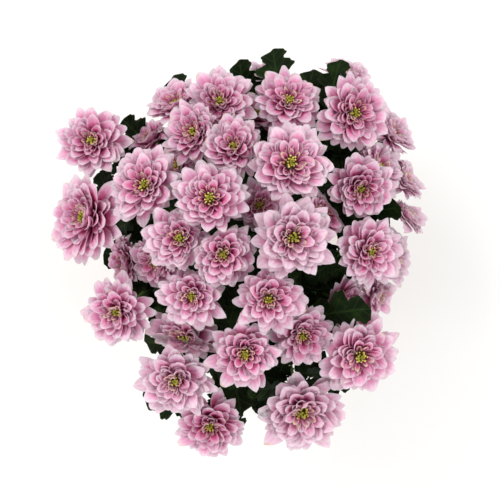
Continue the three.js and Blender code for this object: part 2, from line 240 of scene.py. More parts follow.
def petal_material():
    """Living ray petal: thin, waxy-soft tissue that lets light through. Magenta at the foot and paler to a
    lilac tip, duller on the back, with shallow grooves along it and here and there a dried tip. The deep
    magenta at the foot and on the inner petals is partly the petal's own colour and partly painted shade deep
    in the cups."""
    made, tree = material("living chrysanthemum petal")
    along, across, upper, ring, tone, faded = (
        add(tree, "ShaderNodeAttribute", attribute_name=name).outputs["Fac"]
        for name in ("along", "across", "upper", "ring", "tone", "faded")
    )
    place = add(tree, "ShaderNodeTexCoord").outputs["Object"]

    # The colour moves out along the petal: deeper on inner petals, and uneven by some millimetres. The deep
    # end is partly the petal's own magenta and partly painted shade, where the foot lies deep in the cup
    # under the petals above.
    mottle = add(tree, "ShaderNodeTexNoise", {"Vector": place, "Scale": 180.0, "Detail": 2.0}).outputs["Fac"]
    uneven = add(
        tree,
        "ShaderNodeMapRange",
        {"Value": mottle, "From Min": 0.3, "From Max": 0.7, "To Min": -0.08, "To Max": 0.08},
    ).outputs[0]
    depth = add(tree, "ShaderNodeMapRange", {"Value": ring, "To Min": 1.14, "To Max": 0.76}).outputs[0]
    reach = add(tree, "ShaderNodeMath", {0: along, 1: depth}, operation="MULTIPLY").outputs[0]
    for shift in (uneven, faded):
        reach = add(tree, "ShaderNodeMath", {0: reach, 1: shift}, operation="ADD").outputs[0]
    # Painted shade: the deepest magenta stops stand partly for the shade deep in the cups, partly for the
    # petal's own magenta base.
    front = tinted(
        add(tree, "ShaderNodeValToRGB", {"Fac": reach}),
        [(0.0, "#7A0F3A"), (0.25, "#B83C74"), (0.44, "#D9709F"), (0.66, "#E1A3C0"), (0.95, "#E5C8D5")],
    )
    back = tinted(
        add(tree, "ShaderNodeValToRGB", {"Fac": reach}),
        [(0.0, "#BC5F88"), (0.35, "#DA92B0"), (0.9, "#E3BFCF")],
    )
    sides = add(tree, "ShaderNodeMix", {"Factor": upper, "A": back, "B": front}, data_type="RGBA")

    # Three or four shallow grooves run the petal's length, and hold a little more colour.
    groove = add(tree, "ShaderNodeMath", {0: across, 1: 11.0}, operation="MULTIPLY").outputs[0]
    groove = add(tree, "ShaderNodeMath", {0: groove}, operation="SINE").outputs[0]
    shade = add(tree, "ShaderNodeMapRange", {"Value": groove, "From Min": -1.0, "To Max": 0.2}).outputs[0]

    # Edges and tips are paler than the middle.
    edge = add(tree, "ShaderNodeMath", {0: across}, operation="ABSOLUTE").outputs[0]
    edge = add(tree, "ShaderNodeMath", {0: edge, 1: along}, operation="MAXIMUM").outputs[0]
    edge = add(tree, "ShaderNodeMapRange", {"Value": edge, "From Min": 0.72, "To Max": 0.6}).outputs[0]
    outmost = add(tree, "ShaderNodeMath", {0: along, 1: 3.0}, operation="POWER").outputs[0]
    edge = add(tree, "ShaderNodeMath", {0: edge, 1: outmost}, operation="MULTIPLY").outputs[0]

    # The tubes round the eye have cream rims, and a few outer tips have dried to straw.
    inmost = add(tree, "ShaderNodeMapRange", {"Value": ring, "From Min": 0.82, "From Max": 0.92}).outputs[0]
    rim = add(tree, "ShaderNodeMapRange", {"Value": along, "From Min": 0.6, "To Max": 0.85}).outputs[0]
    cream = add(tree, "ShaderNodeMath", {0: inmost, 1: rim}, operation="MULTIPLY").outputs[0]
    dried = add(
        tree,
        "ShaderNodeMapRange",
        {"Value": tone, "From Min": 0.84, "From Max": 0.92, "To Max": 0.7},
    ).outputs[0]
    end = add(tree, "ShaderNodeMapRange", {"Value": along, "From Min": 0.88, "From Max": 0.98}).outputs[0]
    patch = add(tree, "ShaderNodeMapRange", {"Value": mottle, "From Min": 0.48, "From Max": 0.62}).outputs[0]
    for limit in (end, patch):
        dried = add(tree, "ShaderNodeMath", {0: dried, 1: limit}, operation="MULTIPLY").outputs[0]

    surface = sides.outputs["Result"]
    for share, code in ((shade, "#CC6F9A"), (edge, "#EAD6E0"), (cream, "#EFE3B4"), (dried, "#CFA368")):
        coat = {"Factor": share, "A": surface, "B": colour(code)}
        surface = add(tree, "ShaderNodeMix", coat, data_type="RGBA").outputs["Result"]
    bump = add(tree, "ShaderNodeBump", {"Height": groove, "Strength": 0.35, "Distance": 0.15 * MM})
    looks = {
        "Base Color": surface,
        "Roughness": 0.55,
        "IOR": 1.42,
        "Subsurface Weight": 0.6,
        "Subsurface Radius": (1.0, 0.6, 0.75),
        "Subsurface Scale": 1.6 * MM,
        "Specular IOR Level": 0.2,
        "Normal": bump.outputs[0],
    }
    return finished(made, looks)


def floret_material():
    """Disc floret: tiny waxy tubes, green when shut and yellow at the open mouth."""
    made, tree = material("living disc floret")
    along = add(tree, "ShaderNodeAttribute", attribute_name="along").outputs["Fac"]
    ring = add(tree, "ShaderNodeAttribute", attribute_name="ring").outputs["Fac"]
    age = add(
        tree,
        "ShaderNodeMapRange",
        {"Value": ring, "From Min": 0.2, "To Min": 1.0, "To Max": 0.12},
    ).outputs[0]
    ripe = add(tree, "ShaderNodeMath", {0: along, 1: age}, operation="MULTIPLY").outputs[0]
    surface = tinted(
        add(tree, "ShaderNodeValToRGB", {"Fac": ripe}),
        [(0.0, "#6C761A"), (0.3, "#B8AC34"), (0.6, "#EAD97C"), (1.0, "#F8F0C8")],
    )
    return finished(made, {"Base Color": surface, "Roughness": 0.45, "IOR": 1.42})


def bract_material():
    """Green bract: a small leathery leaf under the petals, with a pale papery edge."""
    made, tree = material("green bract")
    along = add(tree, "ShaderNodeAttribute", attribute_name="along").outputs["Fac"]
    across = add(tree, "ShaderNodeAttribute", attribute_name="across").outputs["Fac"]
    edge = add(tree, "ShaderNodeMath", {0: across}, operation="ABSOLUTE").outputs[0]
    middle = tinted(
        add(tree, "ShaderNodeValToRGB", {"Fac": along}),
        [(0.0, "#4E6A2E"), (0.7, "#5F7A38"), (1.0, "#8A8450")],
    )
    paper = add(tree, "ShaderNodeMapRange", {"Value": edge, "From Min": 0.6, "To Max": 0.7}).outputs[0]
    coat = {"Factor": paper, "A": middle, "B": colour("#A9A886")}
    surface = add(tree, "ShaderNodeMix", coat, data_type="RGBA").outputs["Result"]
    return finished(made, {"Base Color": surface, "Roughness": 0.6, "IOR": 1.42})


# Petals, bracts and florets


def smooth(x):
    x = np.clip(x, 0, 1)
    return x * x * (3 - 2 * x)


def thin_shell(name, points, thickness):
    """A closed shell, thick in the middle and sharp at the rim, on a grid of points whose first way runs
    along it and second across it. It stores where each vertex lies, and whether it is on the upper face."""
    rows, columns = points.shape[0] - 1, points.shape[1] - 1
    along_way, across_way = np.gradient(points, axis=0), np.gradient(points, axis=1)
    normal = np.cross(along_way, across_way)
    normal /= np.maximum(np.linalg.norm(normal, axis=2, keepdims=True), 1e-12)
    u = np.repeat(np.linspace(0, 1, rows + 1)[:, None], columns + 1, axis=1)
    v = np.repeat(np.linspace(-1, 1, columns + 1)[None, :], rows + 1, axis=0)
    top = np.arange((rows + 1) * (columns + 1)).reshape(rows + 1, columns + 1)
    under = top.copy()
    inner = (slice(1, rows), slice(1, columns))
    under[inner] = top.size + np.arange((rows - 1) * (columns - 1)).reshape(rows - 1, columns - 1)
    places = np.vstack([points.reshape(-1, 3), (points - normal * thickness)[inner].reshape(-1, 3)])
    quads = []
    for i in range(rows):
        for j in range(columns):
            quads.append([top[i, j], top[i + 1, j], top[i + 1, j + 1], top[i, j + 1]])
            quads.append([under[i, j + 1], under[i + 1, j + 1], under[i + 1, j], under[i, j]])
    mesh = bpy.data.meshes.new(name)
    mesh.from_pydata(places.tolist(), [], [[int(k) for k in quad] for quad in quads])
    mesh.shade_smooth()
    on_rim = np.zeros(len(places), dtype=bool)
    on_rim[: top.size] = True
    on_rim[top[inner].ravel()] = False
    ends = np.empty(2 * len(mesh.edges), dtype=np.int32)
    mesh.edges.foreach_get("vertices", ends)
    creased = on_rim[ends.reshape(-1, 2)].all(axis=1)
    mesh.attributes.new("sharp_edge", "BOOLEAN", "EDGE").data.foreach_set("value", creased)
    upper = np.full(top.shape, 0.5)
    upper[inner] = 1.0
    below = np.zeros(len(places) - top.size)
    for key, values in {
        "along": np.concatenate([u.ravel(), u[inner].ravel()]),
        "across": np.concatenate([v.ravel(), v[inner].ravel()]),
        "upper": np.concatenate([upper.ravel(), below]),
    }.items():
        mesh.attributes.new(key, "FLOAT", "POINT").data.foreach_set("value", values.astype(np.float32))
    return mesh


def petal_points(shape, rows, columns, chance):
    """The grid of a petal that lies along +X with its upper face up, in metres. chance varies it a little."""
    length = shape["length"] * MM * chance.uniform(0.95, 1.05)
    width = shape["width"] * MM * chance.uniform(0.88, 1.1)
    point = shape["point"] + chance.uniform(-0.04, 0.04)
    low, tip = (b + chance.uniform(-0.15, 0.15) for b in shape["bend"])
    twist, sway = chance.uniform(-0.3, 0.3), chance.uniform(-0.1, 0.1)
    ripple, phase = chance.uniform(0.0, 0.1), chance.uniform(0, 6)

    u = np.linspace(0, 1, rows + 1)[:, None] ** ROW_CROWDING
    v = np.linspace(-1, 1, columns + 1)[None, :]

    # The outline: it widens from the claw over its lower part, then rounds off towards the tip.
    claw = shape["claw"]
    half = width / 2 * (claw + (1 - claw) * smooth(u / 0.62))
    half = half * np.sqrt(1 - 0.5 * np.clip((u - 0.7) / 0.3, 0, 1) ** 2)

    # Across: the edges roll up, ripple a little and twist.
    roll = shape["roll"][0] + (shape["roll"][1] - shape["roll"][0]) * u
    side = half / roll * np.sin(v * roll)
    rise = half / roll * (1 - np.cos(v * roll)) + ripple * half * v**2 * np.sin(7 * u + phase + v)
    side, rise = (
        side * np.cos(twist * u) - rise * np.sin(twist * u),
        side * np.sin(twist * u) + rise * np.cos(twist * u),
    )

    # Along: the corners of the tip draw back, and its middle stands out or is notched.
    reach = u - (0.14 * v**2 - point * np.exp(-((v / 0.35) ** 2))) * u**3

    # The spine bends up low down and over at the tip, and sways to one side.
    fine = np.linspace(0, 1.3, 60)
    turn = low * fine + tip * fine**3
    step = fine[1] * length
    spine_x = np.concatenate([[0], np.cumsum(np.cos(turn[:-1])) * step])
    spine_z = np.concatenate([[0], np.cumsum(np.sin(turn[:-1])) * step])
    tilt = np.interp(reach, fine, turn)
    x = np.interp(reach, fine, spine_x) - rise * np.sin(tilt)
    z = np.interp(reach, fine, spine_z) + rise * np.cos(tilt)
    y = side + sway * length * reach**2
    return np.stack([x, y, z], axis=2)


def turned(name, profile, facets):
    """A closed body of a profile of [radius, height] turned about Z, with the profile's share as along."""
    mesh = bpy.data.meshes.new(name)
    body = bmesh.new()
    share = body.verts.layers.float.new("along")
    rings = []
    for k, (radius, height) in enumerate(profile):
        count = facets if radius > 0 else 1
        ring = []
        for i in range(count):
            angle = 2 * math.pi * i / facets
            vert = body.verts.new((radius * math.cos(angle), radius * math.sin(angle), height))
            vert[share] = k / (len(profile) - 1)
            ring.append(vert)
        rings.append(ring)
    for low, high in zip(rings, rings[1:]):
        for i in range(facets):
            a, b = low[i % len(low)], low[(i + 1) % len(low)]
            c, d = high[(i + 1) % len(high)], high[i % len(high)]
            body.faces.new(list(dict.fromkeys([a, b, c, d])))
    body.to_mesh(mesh)
    body.free()
    mesh.shade_smooth()
    return mesh


def kit_of(name, meshes):
    """A collection of these meshes, in order, for a node tree to pick from."""
    kit = bpy.data.collections.new(name)
    for i, mesh in enumerate(meshes):
        kit.objects.link(bpy.data.objects.new(f"{name}_{i:02d}", mesh))
    return kit


def empty_kit(kit):
    for item in list(kit.objects):
        bpy.data.objects.remove(item)
    bpy.data.collections.remove(kit)


def petal_kit():
    chance = random.Random(11)
    meshes = []
    for k, shape in enumerate(PETAL_SHAPES):
        for n in range(VARIANTS):
            points = petal_points(shape, PETAL_ROWS, PETAL_COLUMNS, chance)
            meshes.append(thin_shell(f"petal_{k}_{n}", points, PETAL_THICKNESS))
    return kit_of("petal", meshes)


def bract_kit():
    chance = random.Random(12)
    points = petal_points(BRACT_SHAPE, 4, 2, chance)
    return kit_of("bract", [thin_shell("bract", points, PETAL_THICKNESS)])


def floret_kit():
    profile = [(0, 0), (0.4, 0), (0.45, 4.2), (0.8, 5.5), (0.5, 5.7), (0.25, 4.8), (0, 4.8)]
    return kit_of("floret", [turned("floret", [(r * MM, z * MM) for r, z in profile], 6)])


# The flower head's node tree


def new_tree(name, inputs):
    """A geometry node tree with a geometry in and out and these named inputs."""
    tree = bpy.data.node_groups.new(name, "GeometryNodeTree")
    tree.is_modifier = True
    tree.interface.new_socket("Geometry", in_out="INPUT", socket_type="NodeSocketGeometry")
    tree.interface.new_socket("Geometry", in_out="OUTPUT", socket_type="NodeSocketGeometry")
    for label, kind in inputs:
        tree.interface.new_socket(label, in_out="INPUT", socket_type=f"NodeSocket{kind}")
    return tree, add(tree, "NodeGroupInput")


def fill(modifier, values):
    """Sets a modifier's inputs by their labels, through each socket's identifier."""
    for item in modifier.node_group.interface.items_tree:
        if item.item_type == "SOCKET" and item.in_out == "INPUT" and item.name in values:
            modifier[item.identifier] = values[item.name]


def grown(name, tree, values, mesh):
    """The plain mesh that a tree makes of a mesh with these inputs."""
    seed = bpy.data.objects.new(name, mesh)
    bpy.context.scene.collection.objects.link(seed)
    modifier = seed.modifiers.new(name, "NODES")
    modifier.node_group = tree
    fill(modifier, values)
    graph = bpy.context.evaluated_depsgraph_get()
    made = bpy.data.meshes.new_from_object(
        seed.evaluated_get(graph), preserve_all_data_layers=True, depsgraph=graph
    )
    seed.modifiers.remove(modifier)
    bpy.data.objects.remove(seed)
    made.name = name
    return made


def copies(tree, kit, points, number, rotation, size):
    gather = {"Collection": kit, "Separate Children": True, "Reset Children": True}
    parts = add(tree, "GeometryNodeCollectionInfo", gather).outputs[0]
    placed = {"Points": points, "Instance": parts, "Pick Instance": True, "Instance Index": number}
    placed.update({"Rotation": rotation, "Scale": size})
    return add(tree, "GeometryNodeInstanceOnPoints", placed).outputs[0]


def made_of(tree, geometry, mat):
    """The geometry in one material, with its copies made real."""
    solid = add(tree, "GeometryNodeRealizeInstances", {"Geometry": geometry}).outputs[0]
    return add(tree, "GeometryNodeSetMaterial", {"Geometry": solid, "Material": mat}).outputs[0]


HEAD_INPUTS = [
    ("Petals", "Int"),
    ("Florets", "Int"),
    ("Bracts", "Int"),
    ("Outer tilt", "Float"),
    ("Inner tilt", "Float"),
    ("Raggedness", "Float"),
    ("Faded", "Float"),
    ("Seed", "Int"),
    ("Petal kit", "Collection"),
    ("Floret kit", "Collection"),
    ("Bract kit", "Collection"),
]


def whorl(tree, seed, kit, count, tilts, radii, heights, jitter, shapes, mat):
    points = add(tree, "GeometryNodePoints", {"Count": count}).outputs[0]
    index = add(tree, "GeometryNodeInputIndex").outputs[0]
    last = add(tree, "ShaderNodeMath", {0: count, 1: 1.0}, operation="SUBTRACT").outputs[0]
    share = add(tree, "ShaderNodeMath", {0: index, 1: last}, operation="DIVIDE").outputs[0]

    # Where each foot stands
    turn = add(tree, "ShaderNodeMath", {0: index, 1: GOLDEN_ANGLE}, operation="MULTIPLY").outputs[0]
    stray = {2: -TURN_STRAY, 3: TURN_STRAY, "ID": index, "Seed": seed}
    stray = add(tree, "FunctionNodeRandomValue", stray).outputs[1]
    turn = add(tree, "ShaderNodeMath", {0: turn, 1: stray}, operation="ADD").outputs[0]
    radius = add(tree, "ShaderNodeMapRange", {"Value": share, "To Min": radii[0], "To Max": radii[1]})
    height = add(tree, "ShaderNodeMapRange", {"Value": share, "To Min": heights[0], "To Max": heights[1]})
    cosine = add(tree, "ShaderNodeMath", {0: turn}, operation="COSINE").outputs[0]
    sine = add(tree, "ShaderNodeMath", {0: turn}, operation="SINE").outputs[0]
    x = add(tree, "ShaderNodeMath", {0: cosine, 1: radius.outputs[0]}, operation="MULTIPLY").outputs[0]
    y = add(tree, "ShaderNodeMath", {0: sine, 1: radius.outputs[0]}, operation="MULTIPLY").outputs[0]
    place = add(tree, "ShaderNodeCombineXYZ", {"X": x, "Y": y, "Z": height.outputs[0]}).outputs[0]
    points = add(tree, "GeometryNodeSetPosition", {"Geometry": points, "Position": place}).outputs[0]

    # How each leans, and how far it strays from that
    tilt = add(tree, "ShaderNodeMapRange", {"Value": share, "To Min": tilts[0], "To Max": tilts[1]})
    least = add(tree, "ShaderNodeMath", {0: jitter, 1: -1.0}, operation="MULTIPLY").outputs[0]
    off = add(tree, "FunctionNodeRandomValue", {2: least, 3: jitter, "ID": index, "Seed": seed})
    lean = add(tree, "ShaderNodeMath", {0: tilt.outputs[0], 1: off.outputs[1]}, operation="ADD").outputs[0]
    pitch = add(tree, "ShaderNodeMath", {0: lean, 1: -1.0}, operation="MULTIPLY").outputs[0]
    other = add(tree, "ShaderNodeMath", {0: seed, 1: SECOND_DRAW}, operation="ADD").outputs[0]
    bank = add(tree, "FunctionNodeRandomValue", {2: least, 3: jitter, "ID": index, "Seed": other}).outputs[1]
    turned_so = add(tree, "ShaderNodeCombineXYZ", {"X": bank, "Y": pitch, "Z": turn}).outputs[0]
    rotation = add(tree, "FunctionNodeEulerToRotation", {"Euler": turned_so}).outputs[0]
    smallest, largest = SIZE_SPREAD
    size = {2: smallest, 3: largest, "ID": index, "Seed": other}
    size = add(tree, "FunctionNodeRandomValue", size).outputs[1]

    kind = add(tree, "ShaderNodeMath", {0: share, 1: shapes - 0.001}, operation="MULTIPLY").outputs[0]
    kind = add(tree, "ShaderNodeMath", {0: kind}, operation="FLOOR").outputs[0]
    kind = add(tree, "ShaderNodeMath", {0: kind, 1: float(VARIANTS)}, operation="MULTIPLY").outputs[0]
    version = {4: 0, 5: VARIANTS - 1, "ID": index, "Seed": seed}
    version = add(tree, "FunctionNodeRandomValue", version, data_type="INT").outputs[2]
    number = add(tree, "ShaderNodeMath", {0: kind, 1: version}, operation="ADD").outputs[0]
    whole = copies(tree, kit, points, number, rotation, size)
    tone = add(tree, "FunctionNodeRandomValue", {2: 0.0, 3: 1.0, "ID": index, "Seed": other}).outputs[1]
    for label, value in (("ring", share), ("tone", tone)):
        whole = add(
            tree,
            "GeometryNodeStoreNamedAttribute",
            {"Geometry": whole, "Name": label, "Value": value},
            data_type="FLOAT",
            domain="INSTANCE",
        ).outputs[0]
    return made_of(tree, whole, mat)


def head_tree(petal, floret, bract):
    """The rule of a double flower head that looks along +Z, with its stalk's end at the origin."""
    tree, given = new_tree("flower head", HEAD_INPUTS)
    sizes = given.outputs
    rays = whorl(
        tree,
        sizes["Seed"],
        sizes["Petal kit"],
        sizes["Petals"],
        tilts=(sizes["Outer tilt"], sizes["Inner tilt"]),
        radii=(5.6 * MM, 3.4 * MM),
        heights=(11.0 * MM, 14.5 * MM),
        jitter=sizes["Raggedness"],
        shapes=len(PETAL_SHAPES),
        mat=petal,
    )
    eye = whorl(
        tree,
        sizes["Seed"],
        sizes["Floret kit"],
        sizes["Florets"],
        tilts=(math.radians(-20), math.radians(0)),
        radii=(3.3 * MM, 0.4 * MM),
        heights=(15.0 * MM, 16.4 * MM),
        jitter=0.12,
        shapes=1,
        mat=floret,
    )
    cup = whorl(
        tree,
        sizes["Seed"],
        sizes["Bract kit"],
        sizes["Bracts"],
        tilts=(math.radians(26), math.radians(34)),
        radii=(2.0 * MM, 2.6 * MM),
        heights=(2.2 * MM, 5.4 * MM),
        jitter=0.08,
        shapes=1,
        mat=bract,
    )
    base = add(tree, "GeometryNodeSetMaterial", {"Geometry": sizes["Geometry"], "Material": bract}).outputs[0]
    joined = add(tree, "GeometryNodeJoinGeometry")
    for part in (base, cup, rays, eye):
        tree.links.new(part, joined.inputs[0])
    whole = add(
        tree,
        "GeometryNodeStoreNamedAttribute",
        {"Geometry": joined.outputs[0], "Name": "faded", "Value": sizes["Faded"]},
        data_type="FLOAT",
        domain="POINT",
    ).outputs[0]
    add(tree, "NodeGroupOutput", {0: whole})
    return tree


def cup_mesh():
    """The swollen stalk end that petals and bracts grow from."""
    foot = [(0, 0), (1.7, 0), (2.0, 2.4), (4.6, 4.8)]
    bowl = [(6.6, 8.4), (6.8, 11.2), (5.6, 13.6), (3.6, 15.4), (0, 16)]
    return turned("cup", [(r * MM, z * MM) for r, z in foot + bowl], 14)


# Reading the frame


def vertex_places(mesh):
    places = np.empty(len(mesh.vertices) * 3, dtype=np.float32)
    mesh.vertices.foreach_get("co", places)
    return places.reshape(-1, 3).astype(float)


def node_points(name):
    return vertex_places(frame["nodes"][name].data)


def read_head(name):
    """A head's foot, the way it faces and its radius, from its CAD node: the foot is its one flat round
    face of the foot's own area."""
    mesh = frame["nodes"][name].data
    normals = np.array([polygon.normal[:] for polygon in mesh.polygons])
    middles = np.array([polygon.center[:] for polygon in mesh.polygons])
    areas = np.array([polygon.area for polygon in mesh.polygons])
    wanted = HEAD_FACETS / 2 * HEAD_FOOT_RADIUS**2 * math.sin(2 * math.pi / HEAD_FACETS)
    best = None
    for normal, middle in zip(normals, middles):
        same = (normals @ normal > SAME_WAY) & (np.abs((middles - middle) @ normal) < SAME_PLANE)
        near = same & (np.linalg.norm(middles - middle, axis=1) < 2 * HEAD_FOOT_RADIUS)
        miss = abs(areas[near].sum() - wanted)
        if best is None or miss < best[0]:
            best = (miss, near, normal)
    _, near, normal = best
    foot = (middles[near] * areas[near, None]).sum(axis=0) / areas[near].sum()
    points = node_points(name) - foot
    height = points @ -normal
    radius = np.linalg.norm(points + height[:, None] * normal, axis=1).max()
    return {"name": name, "foot": Vector(foot), "face": Vector(-normal), "radius": float(radius)}


heads = [read_head(name) for name in sorted(frame["nodes"]) if name.startswith("flower_")]


# Stems


def bezier(corners, count):
    """Points along a Bezier curve of any order, as an array."""
    t = np.linspace(0, 1, count)[:, None]
    layer = [np.broadcast_to(np.array(corner[:]), (count, 3)) for corner in corners]
    while len(layer) > 1:
        layer = [a * (1 - t) + b * t for a, b in zip(layer, layer[1:])]
    return layer[0]


def cutting_of(name):
    """The cutting that a flower_ or leaf_ node grows on, such as back_left."""
    return name.split("_", 1)[1].rstrip("_0123456789")


def heads_by_shoot(cutting):
    shoots = {}
    for head in heads:
        if cutting_of(head["name"]) == cutting:
            shoots.setdefault(head["name"].rsplit("_", 1)[0], []).append(head)
    return list(shoots.values())


def stem_route(kind, corners):
    """A stem of this kind on the curve that these corners give, as (kind, points, radius at each end)."""
    radius = STEM_RADIUS[kind]
    return kind, bezier(corners, STEM_POINTS[kind]), (radius, radius * STEM_TAPER[kind])


def stem_routes(cutting):
    """A cutting's main stem, shoots and flower stalks."""
    mix_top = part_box("potting_mix")[1][2]
    points = node_points(f"stem_{cutting}")
    low = points[points[:, 2] < points[:, 2].min() + MM].mean(axis=0)
    crown = Vector((low[0], low[1], mix_top))
    pinch = Vector((crown.x * PINCH_SPREAD, crown.y * PINCH_SPREAD, mix_top + PINCH_RISE))
    rise = [crown - STEM_IN_MIX * UP, crown + PINCH_RISE / 2 * UP, pinch]
    routes = [stem_route("main", rise)]
    for shoot in heads_by_shoot(cutting):
        middle = sum((head["foot"] for head in shoot), Vector()) / len(shoot)
        fork = pinch.lerp(middle, FORK_SHARE)
        bend = pinch.lerp(fork, BEND_SHARE) + BEND_RISE * (fork.z - pinch.z) * UP
        routes.append(stem_route("shoot", [pinch, bend, fork]))
        leaving = (fork - bend).normalized()
        for head in shoot:
            end = head["foot"] - STALK_IN_HEAD * head["face"]
            reach = (end - fork).length
            out, back = STALK_LEAVES * reach * leaving, STALK_ARRIVES * reach * head["face"]
            routes.append(stem_route("stalk", [fork, fork + out, end - back, end]))
    return routes


def stem_tree(mat):
    """Ribbed stems along the edges of a mesh, as thick as their radius attribute says."""
    tree, given = new_tree("ribbed stems", [("Ribs", "Int"), ("Rib depth", "Float")])
    line = add(tree, "GeometryNodeMeshToCurve", {"Mesh": given.outputs["Geometry"]}).outputs[0]
    thick = add(tree, "GeometryNodeInputNamedAttribute", {"Name": "radius"}, data_type="FLOAT").outputs[0]
    line = add(tree, "GeometryNodeSetCurveRadius", {"Curve": line, "Radius": thick}).outputs[0]
    inner = add(tree, "ShaderNodeMath", {0: 1.0, 1: given.outputs["Rib depth"]}, operation="SUBTRACT")
    section = add(
        tree,
        "GeometryNodeCurveStar",
        {"Points": given.outputs["Ribs"], "Inner Radius": inner.outputs[0], "Outer Radius": 1.0},
    ).outputs[0]
    sweep = {"Curve": line, "Profile Curve": section, "Scale": thick, "Fill Caps": True}
    sweep = add(tree, "GeometryNodeCurveToMesh", sweep).outputs[0]
    soft = add(tree, "GeometryNodeSetShadeSmooth", {"Geometry": sweep, "Shade Smooth": True}).outputs[0]
    add(tree, "NodeGroupOutput", {0: made_of(tree, soft, mat)})
    return tree


def route_mesh(routes):
    """The routes as edges, with the stem's radius at each vertex."""
    places, edges, radii = [], [], []
    for _, points, (first, last) in routes:
        start = len(places)
        places.extend(points.tolist())
        edges.extend((start + i, start + i + 1) for i in range(len(points) - 1))
        radii.extend(np.linspace(first, last, len(points)).tolist())
    mesh = bpy.data.meshes.new("routes")
    mesh.from_pydata(places, edges, [])
    mesh.attributes.new("radius", "FLOAT", "POINT").data.foreach_set("value", radii)
    return mesh


def stem_material():
    """Herbaceous stem: green and finely streaked above, corky brown where it has aged near the mix."""
    made, tree = material("green chrysanthemum stem")
    place = add(tree, "ShaderNodeTexCoord").outputs["Object"]
    height = add(tree, "ShaderNodeSeparateXYZ", {0: place}).outputs["Z"]
    drawn = add(tree, "ShaderNodeMapping", {"Vector": place, "Scale": (900, 900, 90)}).outputs[0]
    streak = add(tree, "ShaderNodeTexNoise", {"Vector": drawn, "Scale": 1.0, "Detail": 3.0}).outputs["Fac"]
    age = add(
        tree,
        "ShaderNodeMapRange",
        {"Value": height, "From Min": 0.125, "From Max": 0.2, "To Max": 0.8},
    ).outputs[0]
    fresh = add(tree, "ShaderNodeMath", {0: streak, 1: 0.35}, operation="MULTIPLY").outputs[0]
    fresh = add(tree, "ShaderNodeMath", {0: age, 1: fresh}, operation="ADD").outputs[0]
    surface = tinted(
        add(tree, "ShaderNodeValToRGB", {"Fac": fresh}),
        [(0.1, "#5A4630"), (0.35, "#55522F"), (0.6, "#3F5A26"), (1.0, "#587A34")],
    )
    bump = add(tree, "ShaderNodeBump", {"Height": streak, "Strength": 0.5, "Distance": 0.3 * MM}).outputs[0]
    return finished(made, {"Base Color": surface, "Roughness": 0.55, "IOR": 1.42, "Normal": bump})


# Leaves

LEAF_LENGTH = 70 * MM
LEAF_ROWS = 28
LEAF_COLUMNS = 6
LEAF_WIDTH = 37 * MM
LEAF_STALK_SHARE = 0.2
LEAF_STALK_RADIUS = 1.1 * MM
LEAF_THICKNESS = 0.5 * MM
PLATE_SHARE = 0.88  # a broad leaf's length as a share of its CAD plate's longest way, lobes included
LEAF_LENGTHS = {"main": (38, 52), "shoot": (52, 72), "stalk": (30, 58)}  # mm
FIRST_LEAF = {"main": 16 * MM, "shoot": 9 * MM, "stalk": 9 * MM}
LAST_LEAF = 14 * MM  # below the end of its stem
LEAF_SPACING = (8, 13)  # mm
LEAF_LIFTS = (0.5, 0.1, -0.3)  # how far a leaf rises for its way outwards, in the order of trying
STEEPEST_LEAF = 0.75  # the most that a leaf's direction points up
LEAF_SEED = 5
LOW_LEAF_LENGTH = 52 * MM


def leaf_points(chance):
    """The grid of a lobed leaf along +X with its upper face up: a short stalk, two pairs of blunt lobes that
    point forward, and a broad end lobe."""
    length, width = LEAF_LENGTH, LEAF_WIDTH * chance.uniform(0.9, 1.1)
    u = np.linspace(0, 1, LEAF_ROWS + 1)[:, None]
    v = np.linspace(-1, 1, LEAF_COLUMNS + 1)[None, :]
    blade = np.clip((u - LEAF_STALK_SHARE) / (1 - LEAF_STALK_SHARE), 0, 1)
    shift = np.where(v > 0, chance.uniform(-0.04, 0.04), chance.uniform(-0.04, 0.04))
    # Each lobe: where it is, its reach along the blade, and its width, all as shares
    lobes = [(0.24, 0.2, 0.74), (0.56, 0.17, 1.0), (0.84, 0.155, 0.66)]
    half = 0.3 * np.sin(math.pi * blade**0.8)
    for middle, reach, share in lobes:
        half = np.maximum(half, share * np.sqrt(np.maximum(0, 1 - ((blade - middle - shift) / reach) ** 2)))
    half = half * width / 2 * np.minimum(1, (1.02 - blade) / 0.06) * (1 + 0.08 * np.sin(46 * blade))
    half = np.maximum(half, LEAF_STALK_RADIUS * (1 - 0.6 * u))
    side = v * half
    x = length * u + 0.5 * np.abs(side) * (1 - blade)
    fold = 0.28 * np.abs(side) - 9.0 * side**2
    wave = 1.6 * MM * np.sin(blade * 17 + chance.uniform(0, 6)) * v**2
    droop = -chance.uniform(0.1, 0.3) * length * u**2.2 + 0.12 * length * u
    y = side + chance.uniform(-0.08, 0.08) * length * u**2
    return np.stack([x, y, droop + fold + wave], axis=2)


def leaf_kit():
    chance = random.Random(21)
    shells = [thin_shell(f"leaf_{n}", leaf_points(chance), LEAF_THICKNESS) for n in range(VARIANTS)]
    return kit_of("leaf", shells)


